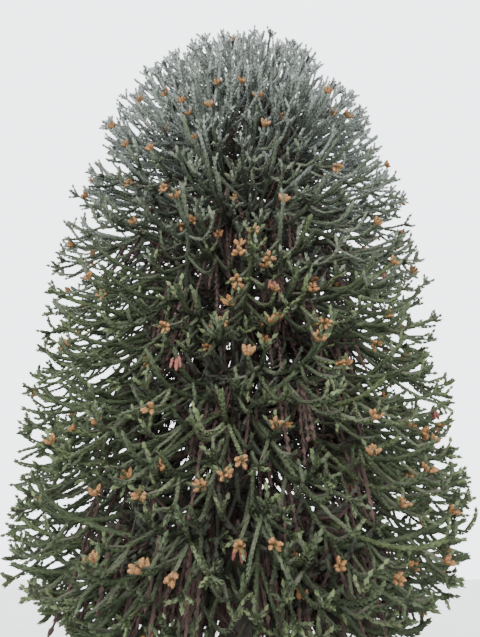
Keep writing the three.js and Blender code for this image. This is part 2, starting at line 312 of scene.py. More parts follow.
def trunk_radius(height):
    up = np.clip(np.asarray(height, float), 0, TRUNK_TOP)
    taper = lerp(TRUNK_RADIUS, TRUNK_TOP_RADIUS, (up / TRUNK_TOP) ** TRUNK_TAPER)
    return taper + FLARE * np.exp(-up / FLARE_HEIGHT)


def trunk_shift(height):
    return TRUNK_LEAN * (height / TRUNK_TOP) ** 2


def turn_to(start, end):
    return np.arctan2(np.sin(end - start), np.cos(end - start))


def in_space(space, points, margin, over=0):
    """True where every ball at these points is in the mass's own space, or this far over its seams."""
    tier, middle, half = space
    radius = np.hypot(points[:, 0], points[:, 1])
    angle = np.arctan2(points[:, 1], points[:, 0])
    height = points[:, 2]
    good = radius + margin <= crown_radius(height)
    good &= height - margin + over >= floor_height(tier, radius, angle)
    good &= height + margin - over <= floor_height(tier + 1, radius, angle)
    good &= (radius >= trunk_radius(height) + margin + 2 * TRUNK_LEAN) | (height >= TRUNK_TOP)
    if half < math.pi:
        off = half - np.abs(turn_to(middle, angle))
        good &= radius * np.sin(np.minimum(off, math.pi / 2)) > margin - over
    return bool(good.all())


def outline_point(space, across, up, reach):
    """The place on the crown's outline across and up a space, each -1 to 1."""
    tier, middle, half = space
    angle = middle + half * across
    radius = CROWN_RADIUS * FIRST_REACH
    height = 0.0
    for _ in range(OUTLINE_ROUNDS):
        low = float(floor_height(tier, radius, angle))
        high = min(float(floor_height(tier + 1, radius, angle)), TREE_HEIGHT)
        height = lerp(low, high, 0.5 + 0.5 * up)
        radius = lerp(radius, float(crown_radius(height)) * reach, 0.5)
    return (radius, angle, height, 0.0)


# The lines that boughs, axes and shoots follow

class Line:
    """A curve in the crown, from share 0 at its root to share 1 at its tip."""

    def tangent(self, share):
        ends = self.points(np.array([max(share - 1e-4, 0), min(share + 1e-4, 1)]))
        along = ends[1] - ends[0]
        return along / np.linalg.norm(along)

    def point(self, share):
        return self.points(np.array([share]))[0]

    def length(self):
        return float(np.linalg.norm(np.diff(self.points(np.linspace(0, 1, 201)), axis=0), axis=1).sum())


class BoughLine(Line):
    """It runs level, sinks or climbs, and hooks up at its tip; a plumb one goes straight."""

    def __init__(self, base, tip, hook, plumb=False):
        self.base, self.tip, self.hook, self.plumb = base, tip, hook, plumb

    def points(self, share):
        radius = lerp(self.base[0], self.tip[0], share)
        turn = turn_to(self.base[1], self.tip[1])
        angle = self.base[1] + turn * (1 - (1 - share) ** 2)
        along = share if self.plumb else ease(share)
        height = lerp(self.base[2], self.tip[2] - self.hook, along) + self.hook * share ** HOOK_POWER
        shift = self.base[3] * (1 - share)
        return np.stack([radius * np.cos(angle) + shift, radius * np.sin(angle), height], axis=1)


class ShootLine(Line):
    """It sets off sideways, swings outward, sags and lifts its tip."""

    def __init__(self, root, heading, side, length, slope, lift=SHOOT_LIFT, power=SHOOT_POWER):
        self.root, self.reach, self.slope = root, length, slope
        self.lift, self.power = lift, power
        self.aside = np.array([math.cos(heading + side), math.sin(heading + side), 0])
        self.outward = np.array([math.cos(heading), math.sin(heading), 0])

    def points(self, share):
        swung = 0.5 * SHOOT_BEND * share * share
        height = self.slope * share - SHOOT_SAG * np.sin(math.pi * share) + self.lift * share ** self.power
        way = np.outer(share - swung, self.aside) + np.outer(swung, self.outward)
        way[:, 2] += height
        return self.root + self.reach * way


class TwigLine(Line):
    """A short line from a root along one direction, bending up."""

    def __init__(self, root, direction, length, rise):
        self.root, self.direction, self.reach, self.rise = root, direction, length, rise

    def points(self, share):
        way = np.outer(share, self.direction)
        way[:, 2] += self.rise * share * share
        return self.root + self.reach * way


def level_side(along):
    """The level direction square to this one."""
    aside = np.array([-along[1], along[0], 0])
    size = np.linalg.norm(aside)
    return aside / size if size > 3e-5 else np.array([0.0, 1.0, 0.0])


def place_of(point):
    """A point as radius, angle, height and shift, as the lines take it."""
    return (math.hypot(point[0], point[1]), math.atan2(point[1], point[0]), point[2], 0.0)


FIT_SHARES = np.array([0.25, 0.4, 0.55, 0.7, 0.85, 1])


def fits(space, line, margin, over=0):
    return in_space(space, line.points(FIT_SHARES), margin, over)


def points_of(line, start):
    return line.points(np.linspace(start, 1, TEST_PLACES))


class Standing:
    """The places along all the lines of one mass, so that a new shoot keeps off them."""

    def __init__(self):
        self.places = np.zeros((0, 3))

    def add(self, places):
        self.places = np.concatenate([self.places, places])

    def near(self, line, room):
        apart = points_of(line, TEST_FROM)[:, None, :] - self.places[None, :, :]
        return bool(((apart ** 2).sum(axis=2) < room ** 2).any())


class Growth:
    """What the rule grows: ropes (line, kind, start, laden), cones (middle, direction, spent, size)
    and limbs (line, share with bark, size, node), and how freely the part in hand bears cones."""

    def __init__(self):
        self.ropes = []
        self.cones = []
        self.limbs = []
        self.bearing = 1

    def rope(self, line, kind, start=0.0):
        self.ropes.append((line, kind, start, self.bearing > 1))

    def cluster(self, line, dice, old):
        """A few cones round a rope's tip."""
        along = line.tangent(1)
        tip = line.point(1)
        aside = level_side(along)
        over = np.cross(along, aside)
        least, more, side, distance = CLUSTERS[old]
        for i in range(least + int(dice.next() * more)):
            angle = GOLDEN * i + dice.between(0, 1)
            off = math.cos(angle) * aside + math.sin(angle) * over
            way = SPENT_SPREAD * off + HANGING if old else along + dice.between(*CONE_SPREADS) * off
            way /= np.linalg.norm(way)
            middle = tip + off * side + way * dice.between(*distance)
            self.cones.append((middle, way, old, dice.between(*CONE_SIZES)))


def tip_growth(growth, space, line, dice):
    """The prong at a main rope's tip and now and then its cones, as the solids have them."""
    along = line.tangent(1)
    root = line.point(1 - LEAF_ROOT / line.length())
    aside = level_side(along)
    over = np.cross(along, aside)
    side = -1 if dice.next() < 0.5 else 1
    spread = LEAF_SPREAD * dice.between(*LEAF_SPREADS)
    length = LEAF_LENGTH * dice.between(*LEAF_LENGTHS)
    direction = along + side * spread * aside + 0.5 * spread * over
    direction /= np.linalg.norm(direction)
    prong = TwigLine(root, direction, length * PRONG_SHARE, LEAF_RISE)
    if in_space(space, prong.points(np.array([1.0])), 1):
        growth.rope(prong, "prong")
    if dice.next() < CONE_CHANCE:
        middle = root + along * CONE_LENGTH * 0.3
        if in_space(space, middle[None, :], CONE_LENGTH):
            growth.cluster(line, Dice(int(abs(middle).sum())), False)


def main_shoots(growth, space, line, start, slope, standing, dice):
    """The side shoot of a main axis, as the solids have it."""
    at = lerp(max(start, SHOOT_PLACES[0]), SHOOT_PLACES[1], dice.between(0.2, 0.8))
    root = line.point(at)
    along = line.tangent(at)
    side = (1 if dice.next() < 0.5 else -1) * SHOOT_SPREAD * dice.between(0.8, 1.15)
    longest = SHOOT_LENGTH * lerp(*SHOOT_SIZES, at) * dice.between(0.85, 1.15)
    heading = math.atan2(along[1], along[0])
    for share in SHOOT_SHARES:
        shoot = ShootLine(root, heading, side * math.copysign(1, share), longest * abs(share), slope)
        if not fits(space, shoot, SHOOT_MARGIN) or standing.near(shoot, ELBOW_ROOM):
            continue
        standing.add(points_of(shoot, 0))
        growth.rope(shoot, "shoot")
        tip_growth(growth, space, shoot, dice)
        break


def fine_slopes(slope):
    """The lowest and highest slope of the finer shoots, from that of the solids' shoots."""
    return (slope + CLIMB[0], slope + CLIMB[1]) if slope > 0 else FINE_SLOPES


def fine_shoots(growth, space, line, start, slopes, standing, dice, over=SEAM):
    """Pairs of side shoots along an axis's outer part, shorter towards its tip."""
    first, last = max(start, PAIRS[0]), PAIRS[1]
    step, wide = PAIR_STEPS[space[0]], 1
    if growth.bearing > 1:
        step, wide = LADEN_STEP, LADEN_TURN
    room = FINE_ELBOW_ROOMS[space[0]]
    pairs = int(line.length() * (last - first) / step)
    for i in range(pairs):
        at = lerp(first, last, (i + dice.between(0.3, 0.7)) / pairs)
        root = line.point(at)
        along = line.tangent(at)
        heading = math.atan2(along[1], along[0])
        for turn in (1, -1):
            side = turn * SHOOT_SPREAD * dice.between(*FINE_TURNS) * wide
            longest = SHOOT_LENGTH * lerp(*FINE_SIZES, at) * dice.between(0.8, 1.25)
            tilt = dice.between(*slopes)
            lift = dice.between(*FINE_LIFTS)
            for share in FINE_SHARES:
                shoot = ShootLine(root, heading, side, longest * share, tilt, lift, FINE_POWER)
                if not fits(space, shoot, SHOOT_MARGIN, over) or standing.near(shoot, room):
                    continue
                standing.add(points_of(shoot, 0.2))
                growth.rope(shoot, "shoot")
                fine_tip(growth, space, shoot, dice)
                break


def fine_tip(growth, space, line, dice):
    """A claw of three or four stubby prongs at every other tip, and now and then its cones."""
    along = line.tangent(1)
    root = line.point(1 - LEAF_ROOT / line.length())
    aside = level_side(along)
    over = np.cross(along, aside)
    first = dice.between(0, math.pi)
    if dice.next() < PRONG_CHANCE:
        count = 3 + int(dice.next() * 2)
        for i in range(count):
            angle = first + 2 * math.pi * i / count
            spread = dice.between(*PRONG_SPREADS)
            direction = along + spread * (math.cos(angle) * aside + math.sin(angle) * over)
            direction /= np.linalg.norm(direction)
            prong = TwigLine(root, direction, dice.between(*PRONG_LENGTHS), PRONG_RISE)
            if in_space(space, prong.points(np.array([1.0])), -PRONG_PAST, SEAM):
                growth.rope(prong, "prong")
    chance = dice.next()
    height = line.point(1)[2]
    bearing = growth.bearing * (1.0 if BEARING[0] < height < BEARING[1] else BARREN)
    if chance > 1 - OLD_CONES * bearing and height < OLD_CONE_TOP:
        growth.cluster(line, dice, True)
    elif chance < FINE_CONES * bearing:
        growth.cluster(line, dice, False)


def inner_ropes(growth, space, axes, dice):
    """Old shoots in the shade near the trunk, some of them dead."""
    for i in range(INNER_ROPES[space[0]]):
        line, _ = axes[int(dice.next() * len(axes))]
        root = line.point(dice.between(*INNER_FEET))
        heading = math.atan2(root[1], root[0])
        side = dice.between(-INNER_TURN, INNER_TURN)
        longest = dice.between(*INNER_LENGTHS)
        slope = dice.between(*INNER_SLOPES)
        for share in FINE_SHARES:
            shoot = ShootLine(root, heading, side, longest * share, slope, INNER_LIFT, FINE_POWER)
            inside = outer_share(shoot.point(1)) < INNER_REACH[space[0]]
            if inside and fits(space, shoot, SHOOT_MARGIN, 2 * SEAM):
                growth.rope(shoot, "dry" if i % 5 in DEAD_OF_FIVE else "shade")
                break


def outer_share(point):
    """How far out a point is, as a share of the crown's radius at its height."""
    return math.hypot(point[0], point[1]) / max(float(crown_radius(point[2])), 1)


def dry_ropes(growth, space, axes, dice):
    """Dead shoots that hang from the axes inside the crown."""
    for _ in range(DRY_ROPES[space[0]]):
        line, _ = axes[int(dice.next() * len(axes))]
        root = line.point(lerp(DRY_FOOT, DRY_REACH[space[0]], dice.next() ** 2))
        heading = math.atan2(root[1], root[0]) + dice.between(-DRY_TURN, DRY_TURN)
        lean = dice.between(*DRY_LEANS)
        direction = np.array([lean * math.cos(heading), lean * math.sin(heading), -1.0])
        direction /= np.linalg.norm(direction)
        hanging = TwigLine(root, direction, dice.between(*DRY_LENGTHS), DRY_BEND)
        tip = hanging.point(1)
        if tip[2] > GROUND_ROOM and tip[2] > crown_floor(tip) - DRY_BELOW[space[0]]:
            growth.rope(hanging, "dry")


def crown_floor(point):
    """The height of the crown's lower edge at a point's distance from the trunk."""
    return float(floor_height(0, math.hypot(point[0], point[1]), math.atan2(point[1], point[0])))


def grow_mass(growth, space, stem, start, forks, hook, slope, count, seed):
    """One mass as the solids have it, and then the finer axes and shoots of the same rule."""
    dice, fine = seed
    axes = [(stem, start)]
    growth.rope(stem, "axis", start)
    for tips, leave in forks:
        base = place_of(stem.point(leave))
        lines = [BoughLine(base, tip, hook) for tip in tips]
        line = next((tried for tried in lines if fits(space, tried, AXIS_MARGIN)), None)
        if line is None:
            continue
        growth.rope(line, "axis")
        axes.append((line, 0.3))
    standing = Standing()
    for line, _ in axes:
        standing.add(points_of(line, 0))
    for line, first in axes:
        tip_growth(growth, space, line, dice)
        main_shoots(growth, space, line, first, slope, standing, dice)
    whole_turn = space[2] >= math.pi
    stems = [(stem, start, 0.0, 0.0)]
    if not whole_turn:
        stems += lesser_boughs(growth, space, hook, standing, fine)
    axes += [(line, first) for line, first, _, _ in stems[1:]]
    for i in range(count):
        up = FINE_SPREAD * (2 * ((i + 0.5) / count) - 1)
        across = FINE_SPREAD * (2 * math.modf(0.31 + 0.618034 * i)[0] - 1)
        parent = min(stems, key=lambda s: abs(s[2] - across) + abs(s[3] - up))[0]
        leave = fine.between(*(FINE_TOP_FORKS if whole_turn else FINE_FORKS))
        reach = fine.between(LEAST_REACH[space[0]], MOST_REACH)
        base = place_of(parent.point(leave))
        here = (space[0], GOLDEN * i * 1.7, math.pi) if whole_turn else space
        droop = DROOPS[space[0]] * (i % 2 if whole_turn else 1)
        for share in SPREADS:
            aim = 0 if whole_turn else across * share
            tip = outline_point(here, aim, up * share - droop, reach)
            line = BoughLine(base, tip, hook * fine.between(0.1, 0.9))
            if fits(space, line, AXIS_MARGIN, SEAM):
                growth.rope(line, "branch")
                standing.add(points_of(line, 0.3))
                axes.append((line, 0.2))
                fine_tip(growth, space, line, fine)
                break
    for line, first in axes:
        fine_shoots(growth, space, line, first, fine_slopes(slope), standing, fine)
    inner_ropes(growth, space, axes, fine)
    if space[0] < len(DRY_ROPES):
        dry_ropes(growth, space, axes, fine)


def lesser_boughs(growth, space, hook, standing, dice):
    """The boughs between the main ones, each from the trunk to its own part of the space."""
    made = []
    tier, middle, half = space
    for across, up in LESSER_BOUGHS:
        across += dice.between(-LESSER_JITTER, LESSER_JITTER)
        up += dice.between(-LESSER_JITTER, LESSER_JITTER)
        height = lerp(FLOORS[tier][0], FLOORS[tier + 1][0], 0.5 + 0.4 * up)
        angle = middle + 0.8 * across * half
        foot = (0, angle, height, trunk_shift(height))
        tip = outline_point(space, across, up, dice.between(*FORK_REACH))
        line = BoughLine(foot, tip, hook)
        if fits(space, line, AXIS_MARGIN, SEAM):
            growth.limbs.append((line, LESSER_SHARE + 0.03, LESSER_SIZE, None))
            growth.rope(line, "axis", LESSER_SHARE)
            standing.add(points_of(line, LESSER_SHARE))
            fine_tip(growth, space, line, dice)
            made.append((line, LESSER_SHARE, across, up))
    return made


def seam_bough(growth, space, hook, slope, dice):
    """A bough in the seam between two spaces of a tier, with its pairs of shoots."""
    tier, middle, _ = space
    height = lerp(FLOORS[tier][0], FLOORS[tier + 1][0], dice.between(*SEAM_FEET))
    if growth.bearing > 1:
        height = LADEN_FOOT
    foot = (0, middle + dice.between(-SEAM_TURN, SEAM_TURN), height, trunk_shift(height))
    across = dice.between(-SEAM_ACROSS, SEAM_ACROSS)
    up = dice.between(*SEAM_UP)
    tip = outline_point(space, across, up, dice.between(*SEAM_REACH))
    line = BoughLine(foot, tip, hook * dice.between(0.6, 1))
    growth.limbs.append((line, BOUGH_SHARE, SEAM_SIZE, None))
    growth.rope(line, "axis", BOUGH_SHARE - 0.03)
    fine_tip(growth, space, line, dice)
    standing = Standing()
    standing.add(points_of(line, 0))
    fine_shoots(growth, space, line, BOUGH_SHARE, fine_slopes(slope), standing, dice)


def grow_collar(growth, tier, dice):
    """Lesser boughs all round the trunk that close the seam over a tier."""
    middle, rise, count, slopes = COLLARS[tier]
    leaves, shoots, bark = COLLAR_SHARES
    standing = Standing()
    for i in range(count):
        angle = GOLDEN * i
        space = (tier, angle, math.pi)
        height = middle + dice.between(-COLLAR_JITTER[0], COLLAR_JITTER[0])
        end = height + rise + dice.between(-COLLAR_JITTER[1], COLLAR_JITTER[1])
        tip = (float(crown_radius(end)) * dice.between(*COLLAR_REACH), angle, end, 0.0)
        line = BoughLine((0, angle, height, trunk_shift(height)), tip, COLLAR_HOOK)
        growth.limbs.append((line, bark, COLLAR_SIZE, None))
        growth.rope(line, "branch", leaves)
        standing.add(points_of(line, 0))
        fine_tip(growth, space, line, dice)
        fine_shoots(growth, space, line, shoots, slopes, standing, dice, 2 * SEAM)


def grow_tree():
    """The whole crown: the solids' own growth in each space, the finer growth, the seams and the top."""
    growth = Growth()
    for index, (name, boughs, turn, hook, slope) in enumerate(TIERS):
        half = math.pi / boughs
        for i in range(boughs):
            dice = Dice(TIER_SEEDS * (index + 1) + i)
            angle = FRONT + 2 * half * (i + turn)
            space = (index, angle, half)
            level = (FLOORS[index][0] + FLOORS[index + 1][0]) / 2
            height = level + STAGGER * ((i % 3) - 1)
            across = dice.between(-STEM_SPREAD, STEM_SPREAD)
            tip = outline_point(space, across, 0, dice.between(*STEM_REACH))
            stem = BoughLine((0, angle, height, trunk_shift(height)), tip, hook)
            growth.limbs.append((stem, BOUGH_SHARE + 0.02, 1.0, f"bough_{name}_{i + 1}"))
            mirror = -1 if dice.next() < 0.5 else 1
            forks = []
            for across, up, leave in FORKS:
                across = mirror * across + dice.between(-FORK_JITTER, FORK_JITTER)
                up = up + dice.between(-FORK_JITTER, FORK_JITTER)
                reach = dice.between(*FORK_REACH)
                tips = [outline_point(space, s * across, s * up, reach) for s in SPREADS]
                forks.append((tips, leave))
            seed = (dice, Dice(FINE_SEED + TIER_SEEDS * index + i))
            grow_mass(growth, space, stem, BOUGH_SHARE, forks, hook, slope, FINE_AXES[index], seed)
            seam = (index, angle - half, half)
            growth.bearing = LADEN if (name, i) == LADEN_BOUGH else 1
            seam_bough(growth, seam, hook, slope, Dice(SEAM_SEED + TIER_SEEDS * index + i))
            growth.bearing = 1
        grow_collar(growth, index, Dice(COLLAR_SEED + index))
    dice = Dice(TOP_SEED)
    space = (len(TIERS), 0.0, math.pi)
    foot = (TRUNK_LEAN, 0.0, TRUNK_TOP, 0.0)
    stem = BoughLine(foot, (TRUNK_LEAN, 0.0, TREE_HEIGHT - LEAF_LENGTH, 0.0), 0, True)
    forks = []
    for i in range(TOP_AXES):
        share = (i + 0.5) / TOP_AXES
        up = lerp(*TOP_SPREAD, share)
        tip = outline_point((space[0], GOLDEN * i, math.pi), 0, up, dice.between(*TOP_REACH))
        forks.append(([tip], lerp(*TOP_FORKS, share)))
    seed = (dice, Dice(FINE_SEED + TOP_SEED))
    grow_mass(growth, space, stem, 0.0, forks, TOP_HOOK, TOP_SLOPE, FINE_TOP_AXES, seed)
    return growth


# Meshes of the foliage

class Sheaf:
    """Vertices and faces of one kind and colour, gathered for one or more pieces."""

    def __init__(self):
        self.spots, self.faces, self.count = [], [], 0

    def add(self, spots, faces):
        self.spots.append(spots)
        self.faces.append(faces + self.count)
        self.count += len(spots)


def rope_frames(line, start, step, least=2):
    """Points, tangents, sides and overs at even steps along a line."""
    shares = np.linspace(start, 1, ROPE_PLACES)
    track = line.points(shares)
    run = np.concatenate([[0], np.cumsum(np.linalg.norm(np.diff(track, axis=0), axis=1))])
    count = max(int(run[-1] / step), least)
    at = np.interp(np.linspace(0, run[-1], count + 1), run, shares)
    points = line.points(at)
    along = np.gradient(points, axis=0)
    along /= np.linalg.norm(along, axis=1, keepdims=True)
    aside = np.stack([-along[:, 1], along[:, 0], np.zeros(len(along))], axis=1)
    aside /= np.maximum(np.linalg.norm(aside, axis=1, keepdims=True), 1e-6)
    return points, along, aside, np.cross(along, aside)


def core_tube(sheaf, line, start, step, radii):
    """The closed twig inside a rope."""
    points, _, aside, over = rope_frames(line, start, step, 1)
    rings = len(points)
    radius = np.interp(np.linspace(0, 1, rings), (0, CORE_WIDEST, 1), radii)[:, None, None]
    turn = np.arange(CORE_SIDES) * 2 * math.pi / CORE_SIDES
    rim = aside[:, None, :] * np.cos(turn)[None, :, None] + over[:, None, :] * np.sin(turn)[None, :, None]
    spots = (points[:, None, :] + radius * rim).reshape(-1, 3)
    k = np.arange(CORE_SIDES)
    n = (k + 1) % CORE_SIDES
    ring = (np.arange(rings - 1) * CORE_SIDES)[:, None]
    a, b = ring + k, ring + n
    c, d = b + CORE_SIDES, a + CORE_SIDES
    walls = np.stack([a, b, c, a, c, d], axis=2).reshape(-1, 3)
    last = (rings - 1) * CORE_SIDES
    caps = [[0, i + 1, i] for i in range(1, CORE_SIDES - 1)]
    caps += [[last, last + i, last + i + 1] for i in range(1, CORE_SIDES - 1)]
    sheaf.add(spots, np.concatenate([walls, np.array(caps)]))


def scale_leaves(sheaf, line, start, step, around, size, phase):
    """Overlapping pointed scale leaves in a spiral round a rope, each two faces folded at its midrib."""
    points, along, aside, over = rope_frames(line, start, step)
    rings = len(points)
    share = np.linspace(0, 1, rings)
    ring = np.repeat(np.arange(rings), around)
    turn = np.tile(np.arange(around) * 2 * math.pi / around, rings) + ring * RING_TURN + phase
    wobble = np.sin(ring * 12.9898 + turn * 78.233 + phase * 37.7) * 43758.5453
    wobble -= np.floor(wobble)
    out = aside[ring] * np.cos(turn)[:, None] + over[ring] * np.sin(turn)[:, None]
    wide = np.cross(along[ring], out)
    core = CORE_RADIUS * size * np.interp(share, (0, 0.2, 0.9, 1), (0.8, 1.0, 0.9, 0.6))[ring]
    reach = (SCALE_LENGTH * size * (0.8 + 0.4 * wobble))[:, None]
    half = (0.5 * SCALE_WIDTH * size * (0.85 + 0.3 * wobble))[:, None]
    tilt = (SCALE_TILT * (0.75 + 0.6 * wobble))[:, None]
    way = along[ring] * np.cos(tilt) + out * np.sin(tilt)
    root = points[ring] + out * (core * 0.8)[:, None]
    belly = root + way * reach * SCALE_BELLY
    left = belly + wide * half - out * half * SCALE_FOLD
    right = belly - wide * half - out * half * SCALE_FOLD
    tip = root + way * reach
    spots = np.stack([root, left, tip, right], axis=1).reshape(-1, 3)
    corner = np.arange(len(ring))[:, None] * 4
    faces = np.concatenate([corner + [0, 2, 1], corner + [0, 3, 2]])
    sheaf.add(spots, faces)


def cone_mesh():
    """A cone's own vertices and faces: a plump egg in rings, along +Z, length one."""
    rings, sides = CONE_RINGS, CONE_FACETS
    spots, faces = [[0, 0, -0.5]], []
    for r in range(rings):
        up = (r + 0.5) / rings
        bulge = CONE_GIRTH * math.sin(math.pi * (0.08 + 0.84 * up)) ** 0.6 * (1.08 if r % 2 else 0.94)
        for k in range(sides):
            turn = 2 * math.pi * (k + 0.5 * (r % 2)) / sides
            spots.append([bulge * math.cos(turn), bulge * math.sin(turn), up - 0.5])
    spots.append([0, 0, 0.54])
    for k in range(sides):
        faces.append([0, 1 + (k + 1) % sides, 1 + k])
    for r in range(rings - 1):
        for k in range(sides):
            a, b = 1 + r * sides + k, 1 + r * sides + (k + 1) % sides
            c, d = b + sides, a + sides
            if r % 2:
                a, b, c, d = b, c, d, a
            faces.append([a, b, c])
            faces.append([a, c, d])
    last = 1 + (rings - 1) * sides
    for k in range(sides):
        faces.append([last + k, last + (k + 1) % sides, len(spots) - 1])
    return np.array(spots, float), np.array(faces)


def add_piece(name, sheaf, finish, smooth=False):
    """One or more pieces of a sheaf, each under the most triangles that a piece may have."""
    made = []
    spots = np.concatenate(sheaf.spots) * METRE
    faces = np.concatenate(sheaf.faces)
    parts = max(math.ceil(len(faces) / PIECE_TRIANGLES), 1)
    order = np.arange(len(faces))
    if parts > 1:
        order = np.argsort(spots[faces[:, 0], 2] // SLICE, kind="stable")
    for k, chosen in enumerate(np.array_split(order, parts)):
        used, inverse = np.unique(faces[chosen], return_inverse=True)
        mesh = bpy.data.meshes.new(name)
        triangles = inverse.reshape(-1, 3)
        mesh.from_pydata(spots[used].tolist(), [], triangles.tolist())
        mesh.update()
        piece = bpy.data.objects.new(f"{name}_{k + 1}" if parts > 1 else name, mesh)
        bpy.context.scene.collection.objects.link(piece)
        mesh.materials.append(finish)
        if smooth:
            mesh.polygons.foreach_set("use_smooth", [True] * len(mesh.polygons))
        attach(piece, "root")
        made.append(piece)
    return made


# Finishes

def tones(name, dark, light, scale, roughness, bump=0, bump_scale=0, stops=(0.3, 0.7)):
    """A rough procedural finish: noise in the piece's own place picks between two tones."""
    finish = bpy.data.materials.new(name)
    finish.use_nodes = True
    nodes, links = finish.node_tree.nodes, finish.node_tree.links
    surface = nodes["Principled BSDF"]
    surface.inputs["Roughness"].default_value = roughness
    surface.inputs["Specular IOR Level"].default_value = SHEEN
    place = nodes.new("ShaderNodeTexCoord")
    noise = nodes.new("ShaderNodeTexNoise")
    noise.inputs["Scale"].default_value = scale
    noise.inputs["Detail"].default_value = NOISE_DETAIL
    ramp = nodes.new("ShaderNodeValToRGB")
    for stop, at, colour in zip(ramp.color_ramp.elements, stops, (dark, light)):
        stop.position = at
        stop.color = (*colour, 1)
    links.new(place.outputs["Object"], noise.inputs["Vector"])
    links.new(noise.outputs["Fac"], ramp.inputs["Fac"])
    links.new(ramp.outputs["Color"], surface.inputs["Base Color"])
    if bump:
        fine = nodes.new("ShaderNodeTexNoise")
        fine.inputs["Scale"].default_value = bump_scale
        relief = nodes.new("ShaderNodeBump")
        relief.inputs["Strength"].default_value = bump
        relief.inputs["Distance"].default_value = BUMP_DEPTH
        links.new(place.outputs["Object"], fine.inputs["Vector"])
        links.new(fine.outputs["Fac"], relief.inputs["Height"])
        links.new(relief.outputs["Normal"], surface.inputs["Normal"])
    return finish


TONES = (  # key, name, dark and light tone, noise scale, roughness, bump, its scale and the two stops
    # painted shade: a darker, duller green for the leaves inside the crown and the shade ropes
    ("deep", "needle_deep_green", (0.022, 0.025, 0.018), (0.042, 0.046, 0.034), 5, 0.75),
    ("olive", "needle_olive", (0.021, 0.03, 0.014), (0.046, 0.06, 0.029), 4, 0.7),
    ("fresh", "needle_fresh_tip", (0.037, 0.05, 0.021), (0.074, 0.094, 0.042), 6, 0.7),
    # painted haze: these three paler greys stand for the bright sky's glare on the upper crown and its rim
    ("sage", "needle_sage", (0.038, 0.048, 0.031), (0.074, 0.087, 0.059), 4, 0.7),
    ("grey", "needle_grey_green", (0.061, 0.073, 0.063), (0.116, 0.133, 0.117), 4, 0.7),
    ("mist", "needle_mist_grey", (0.108, 0.122, 0.113), (0.192, 0.21, 0.196), 4, 0.7),
    ("dry", "dry_shoot", (0.019, 0.012, 0.01), (0.048, 0.028, 0.023), 9, 0.9),
    ("twig", "twig_green_brown", (0.028, 0.028, 0.02), (0.055, 0.053, 0.038), 9, 0.8),
    ("cone", "pollen_cone", (0.07, 0.03, 0.011), (0.21, 0.108, 0.042), 45, 0.85, 0.9, 120, (0.32, 0.62)),
    ("old_cone", "spent_cone", (0.07, 0.022, 0.018), (0.145, 0.05, 0.04), 30, 0.85, 0.8, 140),
    # painted shade: the trunk's grey-brown is darkened for the crown's shade that falls on it
    ("bark", "grey_brown_bark", (0.02, 0.016, 0.013), (0.06, 0.05, 0.044), 6, 0.9, 0.6, 40),
    ("bough", "bough_bark", (0.02, 0.016, 0.013), (0.055, 0.044, 0.037), 8, 0.9, 0.5, 50),
)
FINISHES = {key: tones(*row) for key, *row in TONES}


def colour_of(point, kind, laden, dice):
    """Which of the greens a spray takes, by its height and how far out it is: a darker green of painted
    shade far inside the crown, paler greys of painted haze high up and at the rim.
    """
    outer = outer_share(point)
    if laden:
        return "fresh" if kind == "prong" or dice.next() < FRESH_LADEN else "olive"
    # painted haze: the higher and the farther out, the paler and greyer the green
    high = (point[2] - HAZE_FOOT) / HAZE_RISE + 0.3 * (outer - 0.7) + dice.between(-0.1, 0.1)
    # painted shade: leaves far inside the crown take the darker green
    if outer < DEEP_SHARE + dice.between(-0.1, 0.1) and high < DEEP_TOP:
        return "deep"
    for limit, key in HAZE_GREYS:
        if high > limit:
            return key
    return "fresh" if dice.next() < (FRESH_PRONGS if kind == "prong" else FRESH_ROPES) else "olive"


def dress_foliage(growth):
    """Every rope's core and leaves, in pieces by colour."""
    leaves = {}
    twigs = Sheaf()
    dry_twigs = Sheaf()
    dice = Dice(COLOUR_SEED)
    for number, (line, kind, start, laden) in enumerate(growth.ropes):
        # shade ropes take the darker green of painted shade
        cores, key = twigs, "deep"
        if kind == "dry":
            cores, key = dry_twigs, "dry"
        elif kind != "shade":
            key = colour_of(line.point(lerp(start, 1, 0.7)), kind, laden, dice)
        core_step, radii, step, around, size = ROPES[kind]
        core_tube(cores, line, start, core_step, radii)
        scale_leaves(leaves.setdefault(key, Sheaf()), line, start, step, around, size, number * ROPE_TURN)
    made = []
    for key, sheaf in leaves.items():
        made += add_piece(f"leaves_{key}", sheaf, FINISHES[key])
    made += add_piece("twig_cores", twigs, FINISHES["twig"])
    return made + add_piece("dry_cores", dry_twigs, FINISHES["dry"])


def dress_cones(growth):
    """The fresh and the spent cones, each cone a copy of one mesh."""
    spots, faces = cone_mesh()
    sheaves = {False: Sheaf(), True: Sheaf()}
    for middle, way, old, size in growth.cones:
        aside = level_side(way)
        over = np.cross(way, aside)
        body = spots * CONE_BODIES[old] * size
        turned = middle + body[:, 0:1] * aside + body[:, 1:2] * over + body[:, 2:3] * way
        sheaves[old].add(turned, faces)
    add_piece("pollen_cones", sheaves[False], FINISHES["cone"], True)
    add_piece("spent_cones", sheaves[True], FINISHES["old_cone"], True)


# The trunk and the boughs

def stack_rings(name, sides, rings):
    """A limb of rings, each (place, radius), extruded one from the other along one axis."""
    bpy.ops.object.select_all(action="DESELECT")
    bpy.ops.mesh.primitive_circle_add(vertices=sides, radius=rings[0][1] * METRE, fill_type="NGON")
    limb = bpy.context.object
    limb.name = limb.data.name = name
    bpy.ops.object.mode_set(mode="EDIT")
    bpy.ops.mesh.select_all(action="SELECT")
    for (before, wide), (place, radius) in zip(rings, rings[1:]):
        step = [(b - a) * METRE for a, b in zip(before, place)]
        bpy.ops.mesh.extrude_region_move(TRANSFORM_OT_translate={"value": step})
        middle = [c * METRE for c in place]
        bpy.ops.transform.resize(value=(radius / wide, radius / wide, 1), center_override=middle)
    bpy.ops.mesh.select_all(action="SELECT")
    bpy.ops.mesh.normals_make_consistent(inside=False)
    bpy.ops.object.mode_set(mode="OBJECT")
    return limb


